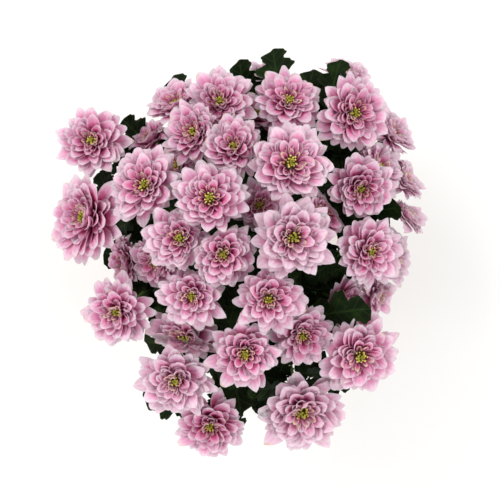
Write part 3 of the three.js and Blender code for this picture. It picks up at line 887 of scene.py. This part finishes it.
def leaf_material():
    """Chrysanthemum leaf: dull, slightly downy green blade, darker above, with pale sunken veins. The blade's
    greens are darker than the leaf's own, as painted shade for the leaves that show between the heads.
    """
    made, tree = material("living chrysanthemum leaf")
    along, across, upper = (
        add(tree, "ShaderNodeAttribute", attribute_name=name).outputs["Fac"]
        for name in ("along", "across", "upper")
    )
    place = add(tree, "ShaderNodeTexCoord").outputs["Object"]
    out = add(tree, "ShaderNodeMath", {0: across}, operation="ABSOLUTE").outputs[0]

    # Side veins leave the midrib every 8 mm or so and sweep forward.
    sweep = add(tree, "ShaderNodeMath", {0: out, 1: -0.14}, operation="MULTIPLY").outputs[0]
    sweep = add(tree, "ShaderNodeMath", {0: along, 1: sweep}, operation="ADD").outputs[0]
    count = add(tree, "ShaderNodeMath", {0: sweep, 1: 9.0}, operation="MULTIPLY").outputs[0]
    vein = add(tree, "ShaderNodeMath", {0: count, 1: 0.5}, operation="PINGPONG").outputs[0]
    vein = add(
        tree,
        "ShaderNodeMapRange",
        {"Value": vein, "From Max": 0.1, "To Min": 1.0, "To Max": 0.0},
    ).outputs[0]
    midrib = add(
        tree,
        "ShaderNodeMapRange",
        {"Value": out, "From Min": 0.03, "From Max": 0.1, "To Min": 1.0, "To Max": 0.0},
    ).outputs[0]
    veins = add(tree, "ShaderNodeMath", {0: vein, 1: midrib}, operation="MAXIMUM").outputs[0]
    pale = add(tree, "ShaderNodeMath", {0: veins, 1: 0.2}, operation="MULTIPLY").outputs[0]

    mottle = add(tree, "ShaderNodeTexNoise", {"Vector": place, "Scale": 60.0, "Detail": 4.0}).outputs["Fac"]
    # Painted shade: these near-black greens are the leaf's own dark green with the shade between the heads
    # painted in.
    blade = tinted(
        add(tree, "ShaderNodeValToRGB", {"Fac": mottle}),
        [(0.3, "#091304"), (0.55, "#101E08"), (0.75, "#1E330E")],
    )
    back = tinted(add(tree, "ShaderNodeValToRGB", {"Fac": mottle}), [(0.3, "#17220A"), (0.7, "#263615")])
    sides = add(tree, "ShaderNodeMix", {"Factor": upper, "A": back, "B": blade}, data_type="RGBA")
    coat = {"Factor": pale, "A": sides.outputs["Result"], "B": colour("#45602B")}
    surface = add(tree, "ShaderNodeMix", coat, data_type="RGBA").outputs["Result"]
    relief = add(tree, "ShaderNodeMath", {0: veins, 1: -1.0}, operation="MULTIPLY").outputs[0]
    relief = add(tree, "ShaderNodeMath", {0: relief, 1: mottle}, operation="ADD").outputs[0]
    bump = add(tree, "ShaderNodeBump", {"Height": relief, "Strength": 0.6, "Distance": 0.5 * MM})
    looks = {
        "Base Color": surface,
        "Roughness": 0.58,
        "IOR": 1.42,
        "Specular IOR Level": 0.1,
        "Normal": bump.outputs[0],
    }
    return finished(made, looks)


def foliage_tree(mat):
    """Leaves on the vertices of a mesh, each turned and sized by that vertex's attributes."""
    tree, given = new_tree("foliage", [("Leaf kit", "Collection")])
    turn = add(tree, "GeometryNodeInputNamedAttribute", {"Name": "turn"}, data_type="FLOAT_VECTOR").outputs[0]
    rotation = add(tree, "FunctionNodeEulerToRotation", {"Euler": turn}).outputs[0]
    size = add(tree, "GeometryNodeInputNamedAttribute", {"Name": "size"}, data_type="FLOAT").outputs[0]
    index = add(tree, "GeometryNodeInputIndex").outputs[0]
    number = {4: 0, 5: VARIANTS - 1, "ID": index, "Seed": LEAF_SEED}
    number = add(tree, "FunctionNodeRandomValue", number, data_type="INT").outputs[2]
    stand = given.outputs["Geometry"]
    leaves = copies(tree, given.outputs["Leaf kit"], stand, number, rotation, size)
    add(tree, "NodeGroupOutput", {0: made_of(tree, leaves, mat)})
    return tree


def leaf_frame(forward, up):
    """The turn that takes +X to forward and +Z as near as it can to up."""
    forward = forward.normalized()
    side = up.cross(forward).normalized()
    normal = forward.cross(side)
    return Matrix((forward, side, normal)).transposed()


def spot_mesh(spots):
    """One vertex for each leaf, from (base, forward, up, length)."""
    mesh = bpy.data.meshes.new("leaf spots")
    mesh.from_pydata([spot[0][:] for spot in spots], [], [])
    turns = [leaf_frame(spot[1], spot[2]).to_euler()[:] for spot in spots]
    mesh.attributes.new("turn", "FLOAT_VECTOR", "POINT").data.foreach_set("vector", np.ravel(turns))
    sizes = [spot[3] / LEAF_LENGTH for spot in spots]
    mesh.attributes.new("size", "FLOAT", "POINT").data.foreach_set("value", sizes)
    return mesh


# How much of a head's width hides what lies over it, how wide it is at its foot, how high it has its full
# width, and how far its petals stand above its dome
COVERED_SHARE = 0.8
FOOT_SHARE = 0.25
WIDEST_AT = 13 * MM
PETALS_ABOVE = 4 * MM
ROOM_UNDER_HEADS = 3 * MM
PAST_THE_CAD = 8 * MM


def inside_a_head(place):
    """True where a place lies among the petals of any head, or would hide one from above."""
    for head in heads:
        away = place - head["foot"]
        height = away.dot(head["face"])
        radius = (away - height * head["face"]).length
        if away.z > 0 and away.xy.length < COVERED_SHARE * head["radius"]:
            return True
        rim = head["radius"] * min(1.0, FOOT_SHARE + height / WIDEST_AT) + ROOM_UNDER_HEADS
        top = HEAD_HEIGHT + PETALS_ABOVE + ROOM_UNDER_HEADS
        if -ROOM_UNDER_HEADS < height < top and radius < rim:
            return True
    return False


def leaf_fits(base, forward, length):
    """True if a leaf passes under the heads and stays close to the CAD model's box."""
    low, high = cad_box
    for share in (0.4, 0.7, 1.0):
        place = base + forward * length * share
        if inside_a_head(place):
            return False
        if any(place[k] < low[k] - PAST_THE_CAD or place[k] > high[k] + PAST_THE_CAD for k in range(2)):
            return False
    return True


def leaf_spots(routes, chance):
    """Where a cutting's small leaves stand: one every 10 mm or so up each stem, shoot and stalk, the next a
    golden angle further round, spread to the light and bent down or left out where a head is in the way."""
    spots = []
    angle = chance.uniform(0, 6)
    for kind, points, _ in routes:
        steps = np.linalg.norm(np.diff(points, axis=0), axis=1)
        gone = np.concatenate([[0], np.cumsum(steps)])
        place = FIRST_LEAF[kind]
        while place < gone[-1] - LAST_LEAF:
            base = Vector([np.interp(place, gone, points[:, k]) for k in range(3)])
            ahead = Vector([np.interp(place + 2 * MM, gone, points[:, k]) for k in range(3)])
            growing = (ahead - base).normalized()
            first = growing.cross(Vector((1, 0.1, 0))).normalized()
            outward = first * math.cos(angle) + growing.cross(first) * math.sin(angle)
            length = chance.uniform(*LEAF_LENGTHS[kind]) * MM
            for lift in LEAF_LIFTS:
                forward = (outward + lift * UP).normalized()
                if forward.z < STEEPEST_LEAF and leaf_fits(base, forward, length):
                    up = (growing + UP - forward * forward.dot(growing + UP)).normalized()
                    spots.append((base, forward, up, length))
                    break
            angle += GOLDEN_ANGLE
            place += chance.uniform(*LEAF_SPACING) * MM
    return spots


def leaf_between(base, tip, share=1.0):
    """A leaf's (base, forward, up, length) from base towards tip, as long as this share of the way."""
    forward = (tip - base).normalized()
    return base, forward, (UP - forward * forward.z).normalized(), share * (tip - base).length


def read_leaf(name, routes):
    """A broad leaf from its CAD plate: its long way, from the end that is nearer to a stem."""
    points = node_points(name)
    middle = points.mean(axis=0)
    way = np.linalg.svd(points - middle)[2][0]
    ends = [points[np.argmax((points - middle) @ (sign * way))] for sign in (1, -1)]
    line = np.vstack([route[1] for route in routes])
    ends.sort(key=lambda end: np.linalg.norm(line - end, axis=1).min())
    return leaf_between(Vector(ends[0]), Vector(ends[1]), PLATE_SHARE)


# Pot and mix


def clay_material():
    """Terracotta: unglazed red earthenware, thrown on a wheel, so faint rings run round it; salts from the
    water leave a chalky bloom on the rim and low down."""
    made, tree = material("terracotta")
    place = add(tree, "ShaderNodeTexCoord").outputs["Object"]
    height = add(tree, "ShaderNodeSeparateXYZ", {0: place}).outputs["Z"]
    cloud = add(tree, "ShaderNodeTexNoise", {"Vector": place, "Scale": 22.0, "Detail": 6.0}).outputs["Fac"]
    grain = add(tree, "ShaderNodeTexNoise", {"Vector": place, "Scale": 900.0, "Detail": 2.0}).outputs["Fac"]
    surface = tinted(
        add(tree, "ShaderNodeValToRGB", {"Fac": cloud}),
        [(0.3, "#A4522F"), (0.5, "#B7643C"), (0.72, "#C67A50")],
    )
    high = add(
        tree,
        "ShaderNodeMapRange",
        {"Value": height, "From Min": 0.108, "From Max": 0.14, "To Max": 0.3},
    ).outputs[0]
    low = add(
        tree,
        "ShaderNodeMapRange",
        {"Value": height, "From Max": 0.045, "To Min": 0.32, "To Max": 0.0},
    ).outputs[0]
    salt = add(tree, "ShaderNodeMath", {0: high, 1: low}, operation="ADD").outputs[0]
    patch = add(
        tree,
        "ShaderNodeMapRange",
        {"Value": cloud, "From Min": 0.42, "From Max": 0.66, "To Max": 1.6},
    ).outputs[0]
    salt = add(tree, "ShaderNodeMath", {0: salt, 1: patch}, operation="MULTIPLY").outputs[0]
    speck = add(
        tree,
        "ShaderNodeMapRange",
        {"Value": grain, "From Min": 0.3, "From Max": 0.7, "To Max": 0.25},
    ).outputs[0]
    rings = add(tree, "ShaderNodeMath", {0: height, 1: 2 * math.pi / RING_SPACING}, operation="MULTIPLY")
    rings = add(tree, "ShaderNodeMath", {0: rings.outputs[0]}, operation="SINE").outputs[0]
    rings = add(tree, "ShaderNodeMath", {0: rings, 1: 0.12}, operation="MULTIPLY").outputs[0]
    relief = add(tree, "ShaderNodeMath", {0: rings, 1: grain}, operation="ADD").outputs[0]
    bump = add(tree, "ShaderNodeBump", {"Height": relief, "Strength": 0.45, "Distance": 0.4 * MM}).outputs[0]
    for share, code in ((salt, "#DDC7B4"), (speck, "#8E4427")):
        coat = {"Factor": share, "A": surface, "B": colour(code)}
        surface = add(tree, "ShaderNodeMix", coat, data_type="RGBA").outputs["Result"]
    return finished(made, {"Base Color": surface, "Roughness": 0.88, "Normal": bump})


def arc(centre, radius, start, end, steps=5):
    """Points of a profile's round corner, from one angle in degrees to another."""
    angles = [math.radians(start + (end - start) * i / steps) for i in range(steps + 1)]
    return [(centre[0] + radius * math.cos(a), centre[1] + radius * math.sin(a)) for a in angles]


def pot_piece(mat):
    """The clay pot: a tapered wall, a thick rolled rim and a flat foot with drain holes."""
    rim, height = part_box("pot")[1][0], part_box("pot")[1][2]
    band_low = height - RIM_BAND
    slope = (rim - RIM_STEP - POT_FOOT_RADIUS) / height
    inner_top = rim - RIM_STEP - POT_WALL
    body_top = POT_FOOT_RADIUS + slope * band_low
    inside = POT_FOOT_RADIUS - POT_WALL + slope * POT_FLOOR
    edge = 2 * MM
    profile = [(0, 0), (POT_FOOT_RADIUS - edge, 0)]
    profile += arc((POT_FOOT_RADIUS - edge, edge), edge, -90, 0)
    wall = [k / 6 for k in range(1, 6)]
    profile += [(POT_FOOT_RADIUS + slope * band_low * k, edge + (band_low - 2 * edge) * k) for k in wall]
    profile += arc((body_top + 1.5 * MM, band_low - 2 * MM), 1.5 * MM, 180, 90)
    profile += arc((rim - 2.5 * MM, band_low + 1.7 * MM), 1.7 * MM, -90, 0)
    profile += arc((rim - edge, height - edge), edge, 0, 90)
    profile += arc((inner_top + edge, height - edge), edge, 90, 180)
    profile += arc((inside - 3 * MM, POT_FLOOR + 3 * MM), 3 * MM, 0, -90)
    profile += [(0, POT_FLOOR)]
    pot = piece("clay_pot", turned("pot", profile, POT_FACETS), mat, ["pot"])
    drain_holes(pot)


def drain_holes(pot):
    """Cuts the three holes through the pot's floor."""
    cutters = []
    for k in range(3):
        angle = math.radians(90 + 120 * k)
        low, high = -5 * MM, POT_FLOOR + 6 * MM
        cylinder = turned("drain", [(0, low), (DRAIN_RADIUS, low), (DRAIN_RADIUS, high), (0, high)], 32)
        middle = Vector((DRAIN_PLACE * math.cos(angle), DRAIN_PLACE * math.sin(angle), 0))
        cylinder.transform(Matrix.Translation(middle))
        cutter = bpy.data.objects.new("drain", cylinder)
        bpy.context.scene.collection.objects.link(cutter)
        cut = pot.modifiers.new("drain", "BOOLEAN")
        cut.operation, cut.solver, cut.object = "DIFFERENCE", "EXACT", cutter
        cutters.append(cutter)
    graph = bpy.context.evaluated_depsgraph_get()
    drilled = bpy.data.meshes.new_from_object(pot.evaluated_get(graph), depsgraph=graph)
    pot.modifiers.clear()
    pot.data = drilled
    for cutter in cutters:
        bpy.data.objects.remove(cutter)


def mix_material():
    """Peat potting mix: dark, fibrous and matt, paler where a crumb has dried."""
    made, tree = material("peat potting mix")
    place = add(tree, "ShaderNodeTexCoord").outputs["Object"]
    coarse = add(tree, "ShaderNodeTexNoise", {"Vector": place, "Scale": 160.0, "Detail": 5.0}).outputs["Fac"]
    fine = add(tree, "ShaderNodeTexNoise", {"Vector": place, "Scale": 1100.0, "Detail": 3.0}).outputs["Fac"]
    both = add(tree, "ShaderNodeMath", {0: coarse, 1: fine}, operation="MULTIPLY").outputs[0]
    surface = tinted(
        add(tree, "ShaderNodeValToRGB", {"Fac": both}),
        [(0.12, "#170F0A"), (0.26, "#33241A"), (0.42, "#5C442F")],
    )
    bump = add(tree, "ShaderNodeBump", {"Height": both, "Strength": 1.0, "Distance": 1.5 * MM}).outputs[0]
    return finished(made, {"Base Color": surface, "Roughness": 0.95, "Normal": bump})


def perlite_material():
    """Perlite: puffed volcanic glass, white and chalky, stained a little by the peat."""
    made, tree = material("perlite")
    place = add(tree, "ShaderNodeTexCoord").outputs["Object"]
    stain = add(tree, "ShaderNodeTexNoise", {"Vector": place, "Scale": 700.0, "Detail": 3.0}).outputs["Fac"]
    surface = tinted(add(tree, "ShaderNodeValToRGB", {"Fac": stain}), [(0.35, "#B8AC98"), (0.6, "#E6E1D6")])
    bump = add(tree, "ShaderNodeBump", {"Height": stain, "Strength": 0.6, "Distance": 0.4 * MM}).outputs[0]
    return finished(made, {"Base Color": surface, "Roughness": 0.9, "Normal": bump})


def mix_mesh():
    """The mix as it fills the pot: a smooth plug with an uneven crumbly top."""
    low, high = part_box("potting_mix")
    top, edge_top = high[2], high[2] - MIX_EDGE_DROP
    wide, narrow = high[0], POT_FOOT_RADIUS - POT_WALL
    rings = [1.0, 0.95, 0.88, 0.8, 0.71, 0.62, 0.53, 0.44, 0.35, 0.26, 0.18, 0.1, 0.03]
    crest = [(wide * r, top - (top - edge_top) * max(0, (r - 0.55) / 0.45)) for r in rings]
    mesh = turned("mix", [(0, low[2]), (narrow, low[2])] + crest + [(0, top)], MIX_FACETS)
    chance = random.Random(31)
    for vertex in mesh.vertices:
        if vertex.co.z > edge_top - MM and vertex.co.xy.length < wide * 0.99:
            vertex.co.z += chance.uniform(-1.2, 0.0) * MM
    return mesh


def crumb_kit(name, seed):
    """A few angular crumbs about 1 mm across."""
    chance = random.Random(32 + seed)
    meshes = []
    for n in range(CRUMB_SHAPES):
        body = bmesh.new()
        bmesh.ops.create_icosphere(body, subdivisions=1, radius=0.5 * MM)
        for vertex in body.verts:
            vertex.co *= chance.uniform(0.7, 1.25)
        mesh = bpy.data.meshes.new(f"{name}_{n}")
        body.to_mesh(mesh)
        body.free()
        meshes.append(mesh)
    return kit_of(name, meshes)


def crumb_tree(mat):
    """Crumbs scattered over the top of the mix."""
    inputs = [("Density", "Float"), ("Smallest", "Float"), ("Largest", "Float"), ("Seed", "Int")]
    tree, given = new_tree("crumbs", inputs + [("Lowest", "Float"), ("Crumb kit", "Collection")])
    sizes = given.outputs
    seed = sizes["Seed"]
    place = add(tree, "GeometryNodeInputPosition").outputs[0]
    height = add(tree, "ShaderNodeSeparateXYZ", {0: place}).outputs["Z"]
    top = {0: height, 1: sizes["Lowest"]}
    top = add(tree, "FunctionNodeCompare", top, data_type="FLOAT", operation="GREATER_THAN").outputs[0]
    points = {"Mesh": sizes["Geometry"], "Selection": top, "Density": sizes["Density"], "Seed": seed}
    points = add(tree, "GeometryNodeDistributePointsOnFaces", points).outputs[0]
    index = add(tree, "GeometryNodeInputIndex").outputs[0]
    spin = {0: (0.0, 0.0, 0.0), 1: (FULL_TURN, FULL_TURN, FULL_TURN), "ID": index, "Seed": seed}
    spin = add(tree, "FunctionNodeRandomValue", spin, data_type="FLOAT_VECTOR").outputs[0]
    spin = add(tree, "FunctionNodeEulerToRotation", {"Euler": spin}).outputs[0]
    size = {2: sizes["Smallest"], 3: sizes["Largest"], "ID": index, "Seed": seed}
    size = add(tree, "FunctionNodeRandomValue", size).outputs[1]
    number = {4: 0, 5: CRUMB_SHAPES - 1, "ID": index, "Seed": seed}
    number = add(tree, "FunctionNodeRandomValue", number, data_type="INT").outputs[2]
    crumbs = copies(tree, sizes["Crumb kit"], points, number, spin, size)
    add(tree, "NodeGroupOutput", {0: made_of(tree, crumbs, mat)})
    return tree


# Low leaves that show as dark green between the heads: where each tip is, in mm. They were placed one by one.
GAP_LEAVES = {
    "back_left": [
        (-110, 108, 205), (-104, 52, 215), (-118, 34, 190), (-72, 22, 215), (-28, 60, 235),
        (4, 50, 235), (8, 92, 240), (-66, 92, 200), (-84, 104, 205), (-111, 88, 200),
        (-107, 12, 196), (-114, 16, 186),
    ],
    "back_right": [
        (82, 92, 215), (12, 148, 208), (73, 147, 200), (58, 84, 235), (20, 28, 225), (118, 22, 190),
        (70, 50, 225), (128, 84, 180),
    ],
    "front_right": [
        (56, -36, 232), (88, -32, 226), (100, -78, 196), (70, -96, 205), (98, -132, 200),
        (44, -112, 214), (40, -118, 190), (78, -62, 206), (24, -78, 220), (86, -112, 205),
        (60, -124, 196), (34, -130, 202), (46, -147, 190), (14, -160, 186), (26, -131, 196),
        (14, -142, 192), (12, -124, 198), (56, -134, 186), (14, -106, 204), (66, -140, 188),
        (8, -153, 190), (63, -131, 192), (77, -105, 200), (70, -118, 214),
    ],
    "front_left": [
        (-108, 2, 200), (-104, -4, 178), (-92, -146, 200), (-38, -118, 206), (-78, -71, 196),
        (-92, -68, 190), (-14, -146, 188), (-30, -146, 186), (-36, -158, 182), (-46, -148, 184),
        (20, -132, 194), (-26, -137, 188), (-1, -172, 178), (-8, -140, 190), (-14, -118, 212),
        (-72, -34, 206), (-66, -52, 190), (-20, -66, 232), (-113, 6, 190), (-128, -8, 182),
        (-98, -60, 192), (-94, -50, 206),
    ],
    "middle": [(0, 22, 250), (6, -30, 250), (-34, 16, 232), (34, 32, 246)],
}


def gap_leaf(tip, routes):
    """A leaf to this tip from the point of the stems that is a leaf's length away, below it if it can be."""
    line = np.vstack([points for _, points, _ in routes])
    away = np.linalg.norm(line - tip, axis=1) + 2 * np.maximum(line[:, 2] - tip.z, 0)
    return leaf_between(Vector(line[np.argmin(np.abs(away - LOW_LEAF_LENGTH))]), tip)


# Putting the plant together


def piece(name, mesh, mat, nodes=()):
    """A piece of the plant in the scene, that rides on the part and stands for these CAD nodes."""
    made = bpy.data.objects.new(name, mesh)
    bpy.context.scene.collection.objects.link(made)
    if mat and not mesh.materials:
        mesh.materials.append(mat)
    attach(made, "root")
    if nodes:
        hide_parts(*nodes)
    return made


# What petals do past the plane where two heads meet: the share of their reach that they keep, and how far
# they rise or sink for each millimetre past it
UPPER_GIVES = (0.75, 0.2)
LOWER_GIVES = (0.5, -0.75)
MOST_FALL = 14 * MM


def pressed_together(mesh, head):
    """Where two heads meet, the petals of each give way: the lower head's tuck in under the upper one's,
    which ride up a little."""
    points = vertex_places(mesh)
    here = head["foot"] + HEAD_MIDDLE * head["face"]
    for other in heads:
        between = other["foot"] + HEAD_MIDDLE * other["face"] - here
        overlap = head["radius"] + other["radius"] - between.length
        if other is head or overlap <= 0:
            continue
        kept, fall = UPPER_GIVES if between.z < 0 else LOWER_GIVES
        past = (points - np.array(here)) @ np.array(between.normalized()) - (head["radius"] - overlap)
        past = np.maximum(past, 0)
        points -= past[:, None] * (1 - kept) * np.array(between.normalized())
        points += np.minimum(past, MOST_FALL)[:, None] * fall * np.array(head["face"])
    mesh.vertices.foreach_set("co", points.astype(np.float32).ravel())
    mesh.update()


def flower_heads(mats):
    tree = head_tree(*mats)
    kits = {"Petal kit": petal_kit(), "Floret kit": floret_kit(), "Bract kit": bract_kit()}
    for n, head in enumerate(heads):
        chance = random.Random(100 + n)
        looks = {
            "Petals": PETALS_PER_HEAD + chance.randint(-PETALS_FEWER, PETALS_MORE),
            "Florets": FLORETS_PER_HEAD,
            "Bracts": BRACTS_PER_HEAD,
            "Outer tilt": math.radians(chance.uniform(*OUTER_TILT)),
            "Inner tilt": math.radians(chance.uniform(*INNER_TILT)),
            "Raggedness": chance.uniform(*RAGGEDNESS),
            "Faded": FADED_HEADS.get(head["name"], 0.0) + chance.uniform(-FADING, FADING),
            "Seed": n + 1,
        }
        name = head["name"].replace("flower_", "head_")
        mesh = grown(name, tree, {**looks, **kits}, cup_mesh())
        turn = head["face"].to_track_quat("Z", "Y").to_matrix().to_4x4()
        spin = Matrix.Rotation(chance.uniform(0, FULL_TURN), 4, "Z")
        size = Matrix.Scale(head["radius"] / MODEL_HEAD_RADIUS, 4)
        mesh.transform(Matrix.Translation(head["foot"]) @ turn @ spin @ size)
        pressed_together(mesh, head)
        piece(name, mesh, None, [head["name"]])
    for kit in kits.values():
        empty_kit(kit)


def stems_and_leaves(stem_mat, leaf_mat):
    stems = stem_tree(stem_mat)
    foliage = foliage_tree(leaf_mat)
    kit = leaf_kit()
    for n, node in enumerate(sorted(name for name in frame["nodes"] if name.startswith("stem_"))):
        cutting = node.split("_", 1)[1]
        routes = stem_routes(cutting)
        mesh = grown("stems", stems, {"Ribs": 5, "Rib depth": 0.14}, route_mesh(routes))
        piece(f"stems_{cutting}", mesh, stem_mat, [node])
        spots = leaf_spots(routes, random.Random(200 + n))
        spots += [gap_leaf(Vector(tip) * MM, routes) for tip in GAP_LEAVES[cutting]]
        mesh = grown("foliage", foliage, {"Leaf kit": kit}, spot_mesh(spots))
        piece(f"foliage_{cutting}", mesh, leaf_mat)
        for name in sorted(frame["nodes"]):
            if name.startswith(f"leaf_{cutting}"):
                mesh = grown("leaf", foliage, {"Leaf kit": kit}, spot_mesh([read_leaf(name, routes)]))
                piece(name.replace("leaf_", "broad_leaf_"), mesh, leaf_mat, [name])
    empty_kit(kit)


def filled_pot():
    pot_piece(clay_material())
    mix_mat, perlite_mat = mix_material(), perlite_material()
    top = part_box("potting_mix")[1][2]
    # Name, material, crumbs to the square metre, smallest and largest in mm, seed
    peat = ("peat_crumbs", mix_mat, 90000.0, 1.2, 3.2, 3)
    perlite = ("perlite_grains", perlite_mat, 9000.0, 1.4, 3.0, 4)
    for name, mat, density, smallest, largest, seed in (peat, perlite):
        kit = crumb_kit(name, seed)
        sizes = {"Density": density, "Smallest": smallest, "Largest": largest, "Seed": seed}
        sizes.update({"Lowest": top - 4.5 * MM, "Crumb kit": kit})
        piece(name, grown(name, crumb_tree(mat), sizes, mix_mesh()), mat)
        empty_kit(kit)
    piece("mix_in_the_pot", mix_mesh(), mix_mat, ["potting_mix"])


# Floor, light and camera


def stage():
    floor = bpy.data.meshes.new("floor")
    half = 2.5
    corners = [(-half, -half, 0), (half, -half, 0), (half, half, 0), (-half, half, 0)]
    floor.from_pydata(corners, [], [(0, 1, 2, 3)])
    made, _ = material("pale floor")
    floor.materials.append(finished(made, {"Base Color": colour("#FAFAF8"), "Roughness": 0.9}))
    ground = bpy.data.objects.new("floor", floor)
    ground.location.z = -FLOOR_DROP
    bpy.context.scene.collection.objects.link(ground)


def area_light(name, place, power):
    light = bpy.data.lights.new(name, "AREA")
    light.shape, light.size, light.energy = "DISK", LIGHT_SIZE, power
    made = bpy.data.objects.new(name, light)
    made.location = place
    made.rotation_euler = (LIGHT_AIM - Vector(place)).to_track_quat("-Z", "Y").to_euler()
    bpy.context.scene.collection.objects.link(made)


def light_and_camera():
    for name, (place, power) in LIGHTS.items():
        area_light(name, place, power)
    world = bpy.data.worlds.new("soft room")
    world.use_nodes = True
    background = world.node_tree.nodes["Background"]
    background.inputs["Color"].default_value = (1, 1, 1, 1)
    background.inputs["Strength"].default_value = ROOM_LIGHT
    bpy.context.scene.world = world
    bpy.context.scene.view_settings.view_transform = "Standard"
    lens = bpy.data.cameras.new("camera")
    lens.lens, lens.sensor_width, lens.clip_end = LENS_MM, 36, 10
    camera = bpy.data.objects.new("camera", lens)
    camera.location = (*CAMERA_BESIDE, CAMERA_HEIGHT)
    bpy.context.scene.collection.objects.link(camera)
    bpy.context.scene.camera = camera


flower_heads((petal_material(), floret_material(), bract_material()))
stems_and_leaves(stem_material(), leaf_material())
filled_pot()
stage()
light_and_camera()
